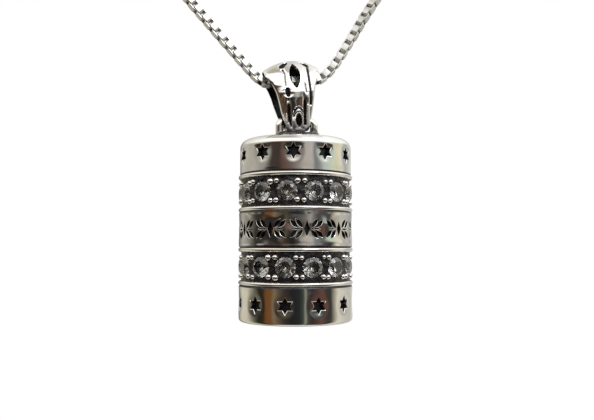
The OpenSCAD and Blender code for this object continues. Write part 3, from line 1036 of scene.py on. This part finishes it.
def make_bail():
    outline = pierced_outline()
    area = sum(a[0] * b[1] - b[0] * a[1] for a, b in zip(outline, outline[1:] + outline[:1], strict=True))
    if area < 0:
        outline.reverse()
    flat, triangles, rings = cut_sheet((-SHEET_W, SHEET_W), (-HALF_LOOP, HALF_LOOP), (84, 300), [outline])
    hole = rings[0]
    made = Build()
    marks, outer, inner = [], [], []
    for x, t in flat:
        u = x / SHEET_W
        across = u * bail_width(t)
        sunk = bail_cut(across, t)
        rim_lift = bail_rim(across, t) if t > RIM_FROM else 0.0
        if rim_lift > 0:
            sunk *= 0.3  # the rim fills most of a cut that it crosses
        stands = (1 - 0.5 * u * u) * float(np.interp(t, *BELLY)) - RELIEF_DEPTH * sunk + rim_lift
        hammered = HAMMER * noise.noise(Vector((across / 0.9, t / 0.9, 3.7)))
        thick = math.dist(bail_point(u, t, False), bail_point(u, t, True))
        brink = max(0.0, abs(u) - CURL_FROM) / (1 - CURL_FROM)
        curl = CURL * thick * (1 - math.sqrt(max(0.0, 1 - brink * brink)))
        outer.append(bail_point(u, t, False, stands + hammered * (1 - brink) - curl))
        inner.append(bail_point(u, t, True, 0.6 * curl))
        marks.append(step(0.12, 0.85, sunk))
    made.add(outer, [face[::-1] for face in triangles])
    made.kinds = [int(on_rim([flat[i] for i in face])) for face in triangles]
    made.add(inner, triangles)
    made.add(outer + inner, [f[::-1] for f in ring_faces(hole, [len(flat) + i for i in hole])])
    for side in (-SHEET_W, SHEET_W):
        edge = [i for i in range(len(flat)) if abs(flat[i][0] - side) < 1e-6]
        line = sorted(edge, key=lambda i: flat[i][1])
        bulge = []
        for i in line:
            a, b = np.array(outer[i]), np.array(inner[i])
            bulge.append(tuple((a + b) / 2 + np.array([math.copysign(0.05, side), 0, 0])))
        points = [outer[i] for i in line] + bulge + [inner[i] for i in line]
        faces = grid_faces(3, len(line), loop_columns=False)
        made.add(points, faces if side < 0 else [face[::-1] for face in faces])
    for bead_form in BEADS:
        made.add(*foot_bead(*bead_form), 1)
    values = np.zeros(len(made.points))
    values[: len(flat)] = marks
    # The inner face gets painted shade through the same mark.
    values[len(flat) : 2 * len(flat)] = INNER_SHADE
    lean = Matrix.Translation((0, 0, BAIL["bottom_z"])) @ Matrix.Rotation(-BAIL["lean"], 4, "Y")
    lean = lean @ Matrix.Translation((0, 0, -BAIL["bottom_z"]))
    made.points = [tuple(lean @ Vector(p)) for p in made.points]
    known = {}
    for p, v in zip(made.points, values, strict=True):
        known.setdefault(weld_key(p), v)
    made.object(
        "relief_bail", [CAST, FROSTED], "bail_body", "cast_silver", ["bail"], 55,
        lambda points: [known[weld_key(p)] for p in points],
    )  # fmt: skip


def make_saddle():
    """The mound of solder that joins the hanging loop to the cap, with a trough for the bail's foot. Its
    dark finish is painted shade under the foot.
    """
    middle, half_length, half_depth, leg = 0.14, 2.5, 1.5, 1.87
    top, base = -5.54, CASE_TOP - 0.04
    clear, trough_half = 1.58, 1.5
    climbs = (0.35, 1.1)  # how far the solder climbs the left leg and the right one
    steps_x, steps_y = 40, 36
    points = []
    for i in range(steps_x + 1):
        x = half_length * math.sin(math.pi * (i / steps_x - 0.5))
        end = max(0.0, 1 - (abs(x) / half_length) ** 5)
        climb = climbs[0] if x < 0 else climbs[1]
        for k in range(steps_y + 1):
            y = half_depth * math.sin(math.pi * (k / steps_y - 0.5))
            side = max(0.0, 1 - (abs(y) / half_depth) ** 5)
            trough = BAIL["bottom_z"] - math.sqrt(max(0.0, clear**2 - y * y))
            z = min(top, trough) if abs(x) < trough_half else top
            z += 0.05 * noise.noise(Vector((x * 1.5, y * 1.5, 5.5)))
            away = (abs(x) - leg) ** 2 / 0.3 + y * y / 0.35
            z += climb * math.exp(-away)
            points.append((middle + x, y, base + (z - base) * (end * side) ** 0.4))
    faces = flipped(grid_faces(steps_x + 1, steps_y + 1, loop_columns=False))
    under = [(x, y, base - 0.02) for x, y, _ in points]
    start = len(points)
    faces += [[start + i for i in face[::-1]] for face in faces]
    made = Build()
    made.add(points + under, faces)
    made.object("loop_solder", [SOLDER_PAINTED_SHADE], "case_body", "polished_silver", sharp=50)


# ---- chain

LINK = {
    "length": 0.99, "width": 1.0, "strip": 0.7, "wall": 0.17, "pitch": 0.605, "round": 0.2, "edge": 0.04,
}  # fmt: skip
INSIDE_SIDES = (3, 4, 5)  # the sides of a link's section that look inwards, darkened as painted shade


def link():
    """One box link: a strip bent into a rounded square ring in the XZ plane, X along the chain.
    Returns its points, its faces and which of them look inwards, where the dark finish paints the shade
    inside the link."""
    half_l, half_w, corner = LINK["length"] / 2, LINK["width"] / 2, LINK["round"]
    path = []
    for k, (sx, sz) in enumerate(((1, 1), (-1, 1), (-1, -1), (1, -1))):
        for i in range(5):
            a = math.pi / 2 * (k + i / 4)
            n = (math.cos(a), math.sin(a))
            path.append((sx * (half_l - corner) + corner * n[0], sz * (half_w - corner) + corner * n[1], n))
    s, t, e = LINK["strip"] / 2, LINK["wall"], LINK["edge"]
    section = [(0, -s + e), (0, s - e), (-e, s), (-t + e, s)]
    section += [(-t, s - e), (-t, -s + e), (-t + e, -s), (-e, -s)]
    points = [(x + d * n[0], y, z + d * n[1]) for x, z, n in path for d, y in section]
    faces = grid_faces(len(path), len(section), loop_rows=True)
    return points, faces, [int(i % len(section) in INSIDE_SIDES) for i in range(len(faces))]


FITTINGS = [
    "left_end_cap", "left_jump_ring", "clasp_body", "clasp_bolt", "right_end_cap", "right_end_ring",
]  # fmt: skip
ROLLS = (76, 52)  # twist of the chain on the left and by the bail, and at its right end, in degrees


def make_chain():
    dense = smooth_route(ROUTE)
    reached = [0.0]
    for a, b in zip(dense, dense[1:], strict=False):
        reached.append(reached[-1] + (b - a).length)
    total = reached[-1]
    pitch = LINK["pitch"] * MM
    count = int(total / pitch)
    points, faces, kinds = link()
    made = Build()
    for k in range(count):
        way = (k + 0.5) * total / count
        i = max(j for j in range(len(dense) - 1) if reached[j] <= way)
        share = (way - reached[i]) / (reached[i + 1] - reached[i])
        centre = dense[i].lerp(dense[i + 1], share)
        ahead = (dense[min(i + 6, len(dense) - 1)] - dense[max(i - 5, 0)]).normalized()
        side = ahead.cross(Vector((0, 1, 0))).normalized()
        roll = math.radians(mixed(*ROLLS, step(0.7, 0.95, way / total)))
        roll += k % 2 * math.pi / 2
        b = Matrix.Rotation(roll, 3, ahead) @ side
        a = ahead.cross(b)
        made.add([centre / MM + ahead * x + a * y + b * z for x, y, z in points], faces)
        made.kinds[-len(faces) :] = kinds
    finishes = [CHAIN_SILVER, CHAIN_PAINTED_SHADE]
    piece = made.object("box_chain", finishes, "necklace", "chain_silver", ["chain"], 30)


def make_clasp_coil():
    """The coil spring inside the spring ring, along the arc that its CAD solid fills."""
    heading = ROUTE[0] - ROUTE[1]
    tilt = math.atan2(heading.x, heading.z)
    c, s = math.cos(tilt), math.sin(tilt)
    ring_away = 7.9
    centre = ROUTE[0] / MM + heading.normalized() * ring_away
    big, small, wire, turns = 2.3, 0.25, 0.07, 16
    start, end = math.radians(132), math.radians(215)
    count, sides = turns * 14, 6
    line = []
    for i in range(count + 1):
        a = start + (end - start) * i / count
        w = 2 * math.pi * turns * i / count
        r = big + small * math.cos(w)
        x, z = r * math.cos(a), r * math.sin(a)
        y = small * math.sin(w)
        line.append(centre + Vector((x * c + z * s, y, -x * s + z * c)))
    points, faces = [], []
    for i, p in enumerate(line):
        t = (line[min(i + 1, count)] - line[max(i - 1, 0)]).normalized()
        u = t.orthogonal().normalized()
        v = t.cross(u)
        for k in range(sides):
            b = k * math.tau / sides
            points.append(tuple(p + wire * (u * math.cos(b) + v * math.sin(b))))
    made = Build()
    for i in range(count):
        shift = nearest_shift(points, i, sides)
        here, after = i * sides, (i + 1) * sides
        for k in range(sides):
            near = [here + k, here + (k + 1) % sides]
            far = [after + (k + 1 + shift) % sides, after + (k + shift) % sides]
            faces.append(near + far)
    made.add(points, faces)
    made.object("clasp_coil", [TUBE_SILVER], "necklace", "blackened_silver", ["clasp_spring"], 60)


def nearest_shift(points, i, sides):
    """How far the next ring of points is twisted against this one."""
    here = Vector(points[i * sides])
    gaps = [(Vector(points[(i + 1) * sides + k]) - here).length for k in range(sides)]
    return gaps.index(min(gaps))


# ---- scroll


def make_scroll():
    """A strip of parchment, rolled up, with edges that aren't quite even."""
    low, high = span("scroll")
    outer, start, pitch, sheet = reach("scroll"), 0.9, 0.3, 0.13
    turns = (outer - sheet - start) / pitch
    count = round(turns * 40)
    rows = []
    for i in range(count + 1):
        a = 2 * math.pi * turns * i / count
        r = start + pitch * turns * i / count
        r += 0.025 * noise.noise(Vector((math.cos(a) * 1.3, math.sin(a) * 1.3, r)))
        ragged = 0.05 * noise.noise(Vector((a * 0.8, 3.3, 0)))
        bottom, top = low + 0.06 + ragged, high - 0.06 + ragged
        for radius, z in ((r, bottom), (r, top), (r + sheet, top), (r + sheet, bottom)):
            rows.append((radius * math.sin(a), -radius * math.cos(a), z))
    last = 4 * count
    faces = grid_faces(count + 1, 4)
    faces += [[0, 3, 2, 1], [last, last + 1, last + 2, last + 3]]
    made = Build()
    made.add(rows, faces)
    made.object("rolled_scroll", [PARCHMENT], "scroll_body", "parchment", ["scroll"], 40)


# ---- build all

make_clasp_coil()
make_chain()
make_top_cap()
make_setting_ring("upper_setting_ring", UPPER_TURN, 11)
make_setting_ring("lower_setting_ring", LOWER_TURN, 29)
make_stones("upper_stones", "upper_setting_ring", UPPER_TURN)
make_stones("lower_stones", "lower_setting_ring", LOWER_TURN)
for rail in ("upper_top_rail", "upper_bottom_rail", "lower_top_rail", "lower_bottom_rail"):
    make_rail(rail)
make_centre_band()
make_bottom_cap()
make_bail()
make_saddle()
make_scroll()

# The pieces that keep their CAD shape
KEPT = {"hanging_loop": POLISHED, "core_tube": TUBE_SILVER}
for name in FITTINGS:
    KEPT[name] = CHAIN_SILVER
for name, finish in KEPT.items():
    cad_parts[name].data.materials.clear()
    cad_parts[name].data.materials.append(finish)


# ---- studio

# What stands round the pendant, as the silver sees it: pale walls at the sides, and a dim room with
# warm patches behind the camera. Each stop is an angle from the camera towards its right, in
# degrees, and a colour. The tables go from below the camera's level up to the zenith.
ROOM_HIGH = [
    (-180, 0.16, 0.16, 0.16), (-160, 0.25, 0.24, 0.22), (-140, 0.5, 0.48, 0.42), (-90, 0.42, 0.4, 0.34),
    (-68, 0.3, 0.29, 0.25), (-57, 0.12, 0.11, 0.1), (-50, 0.055, 0.04, 0.036), (-33, 0.05, 0.035, 0.03),
    (-24, 0.11, 0.065, 0.05), (-7, 0.16, 0.12, 0.105), (9, 0.27, 0.25, 0.23), (18, 0.46, 0.42, 0.38),
    (34, 0.45, 0.42, 0.39), (42, 0.19, 0.2, 0.2), (52, 0.26, 0.28, 0.27), (62, 0.45, 0.5, 0.46),
    (74, 0.56, 0.62, 0.52), (93, 0.69, 0.64, 0.44), (108, 0.74, 0.7, 0.6), (125, 0.4, 0.4, 0.38),
    (145, 0.6, 0.6, 0.58), (162, 0.75, 0.75, 0.72), (170, 0.2, 0.2, 0.2), (180, 0.16, 0.16, 0.16),
]  # fmt: skip
ROOM_MIDDLE = [
    (-180, 0.12, 0.12, 0.12), (-160, 0.14, 0.14, 0.13), (-130, 0.4, 0.38, 0.33),
    (-102, 0.15, 0.14, 0.12), (-85, 0.04, 0.035, 0.03), (-50, 0.02, 0.018, 0.018),
    (-30, 0.025, 0.022, 0.02), (-22, 0.08, 0.07, 0.045), (-9, 0.03, 0.028, 0.025),
    (6, 0.04, 0.04, 0.04), (17, 0.14, 0.13, 0.12), (26, 0.34, 0.31, 0.28), (36, 0.15, 0.15, 0.15),
    (46, 0.07, 0.07, 0.065), (74, 0.06, 0.06, 0.055), (84, 0.27, 0.26, 0.22), (96, 0.5, 0.48, 0.4),
    (120, 0.45, 0.44, 0.4), (150, 0.35, 0.35, 0.34), (165, 0.6, 0.6, 0.58), (173, 0.14, 0.14, 0.14),
    (180, 0.12, 0.12, 0.12),
]  # fmt: skip
ROOM_LOW = [
    (-180, 0.12, 0.12, 0.12), (-160, 0.2, 0.19, 0.18), (-135, 0.6, 0.57, 0.46),
    (-112, 0.58, 0.55, 0.44), (-100, 0.34, 0.31, 0.24), (-90, 0.14, 0.13, 0.09),
    (-80, 0.023, 0.022, 0.016), (-69, 0.03, 0.02, 0.012), (-60, 0.16, 0.066, 0.022),
    (-50, 0.16, 0.07, 0.024), (-42, 0.19, 0.14, 0.085), (-34, 0.11, 0.08, 0.05),
    (-22, 0.04, 0.032, 0.025), (-8, 0.016, 0.016, 0.018), (8, 0.02, 0.024, 0.022),
    (16, 0.05, 0.06, 0.05), (20, 0.28, 0.28, 0.22), (24, 0.06, 0.06, 0.05), (34, 0.035, 0.03, 0.028),
    (46, 0.09, 0.045, 0.04), (54, 0.13, 0.065, 0.05), (64, 0.05, 0.04, 0.035), (74, 0.04, 0.04, 0.035),
    (82, 0.3, 0.28, 0.22), (93, 0.68, 0.65, 0.54), (120, 0.56, 0.54, 0.48), (140, 0.5, 0.5, 0.46),
    (162, 0.7, 0.7, 0.66), (172, 0.14, 0.14, 0.14), (180, 0.12, 0.12, 0.12),
]  # fmt: skip
CEILING = [
    (-180, 0.6, 0.6, 0.58), (-150, 0.68, 0.66, 0.6), (-100, 0.95, 0.93, 0.86), (-60, 1.2, 1.18, 1.1),
    (0, 1.3, 1.29, 1.26), (60, 1.3, 1.29, 1.28), (100, 1.2, 1.19, 1.16), (150, 0.92, 0.91, 0.88),
    (180, 0.6, 0.6, 0.58),
]  # fmt: skip
ZENITH = [
    (-180, 0.62, 0.62, 0.6), (-147, 0.66, 0.64, 0.58), (-112, 0.56, 0.53, 0.44),
    (-75, 0.46, 0.42, 0.34), (-35, 0.45, 0.42, 0.36), (0, 0.55, 0.53, 0.49), (30, 0.8, 0.79, 0.77),
    (60, 0.95, 0.95, 0.93), (97, 0.85, 0.84, 0.82), (120, 0.92, 0.92, 0.9), (150, 0.76, 0.76, 0.74),
    (180, 0.62, 0.62, 0.6),
]  # fmt: skip


def make_world():
    world = bpy.data.worlds.new("studio")
    bpy.context.scene.world = world
    world.use_nodes = True
    tree = world.node_tree
    tree.nodes.clear()
    where = node(tree, "ShaderNodeTexCoord")
    parts = node(tree, "ShaderNodeSeparateXYZ")
    put(tree, parts.inputs[0], where.outputs["Generated"])

    def maths(operation, *values):
        made = node(tree, "ShaderNodeMath", operation=operation)
        for socket, value in zip(made.inputs, values, strict=False):
            put(tree, socket, value)
        return made.outputs[0]

    back = maths("MULTIPLY", parts.outputs["Y"], -1)
    turn = maths("ARCTAN2", parts.outputs["X"], back)
    turn = maths("SUBTRACT", turn, VIEW_TURN)
    round_share = maths("FRACT", maths("ADD", maths("DIVIDE", turn, 2 * math.pi), 0.5))
    rooms = []
    for stops in (ROOM_LOW, ROOM_MIDDLE, ROOM_HIGH, CEILING, ZENITH):
        rooms.append(ramp(tree, round_share, [((angle + 180) / 360, colour) for angle, *colour in stops]))

    def blend(low, high, a, b):
        """One picture below, another above, mixed between two heights in degrees."""
        share = node(tree, "ShaderNodeMapRange", interpolation_type="SMOOTHSTEP")
        heights = {"From Min": math.sin(math.radians(low)), "From Max": math.sin(math.radians(high))}
        settle(tree, share, {"Value": parts.outputs["Z"], **heights})
        mix = node(tree, "ShaderNodeMix", data_type="RGBA")
        put(tree, mix.inputs["Factor"], share.outputs["Result"])
        put(tree, mix.inputs[6], a)
        put(tree, mix.inputs[7], b)
        return mix.outputs[2]

    room = blend(-3, 0.5, rooms[0], rooms[1])
    room = blend(3.5, 6.5, room, rooms[2])
    room = blend(-70, -56, (0.7, 0.68, 0.62), room)
    room = blend(13, 26, room, rooms[3])
    room = blend(52, 64, room, rooms[4])
    studio = node(tree, "ShaderNodeBackground")
    put(tree, studio.inputs["Color"], room)
    paper = node(tree, "ShaderNodeBackground")
    put(tree, paper.inputs["Color"], (1, 1, 1))
    path = node(tree, "ShaderNodeLightPath")
    both = node(tree, "ShaderNodeMixShader")
    values = (path.outputs["Is Camera Ray"], studio.outputs[0], paper.outputs[0])
    for socket, value in zip(both.inputs, values, strict=True):
        put(tree, socket, value)
    surface = node(tree, "ShaderNodeOutputWorld")
    put(tree, surface.inputs["Surface"], both.outputs[0])


def make_key_light():
    data = bpy.data.lights.new("key", "AREA")
    data.shape, data.size, data.energy = "DISK", 0.12, 0.12
    key = bpy.data.objects.new("key", data)
    key.location = (0.08, -0.16, 0.16)
    towards_case = Vector((0, 0, -0.012)) - key.location
    key.rotation_euler = towards_case.to_track_quat("-Z", "Y").to_euler()
    bpy.context.scene.collection.objects.link(key)


make_world()
make_key_light()
bpy.context.scene.view_settings.view_transform = "Standard"
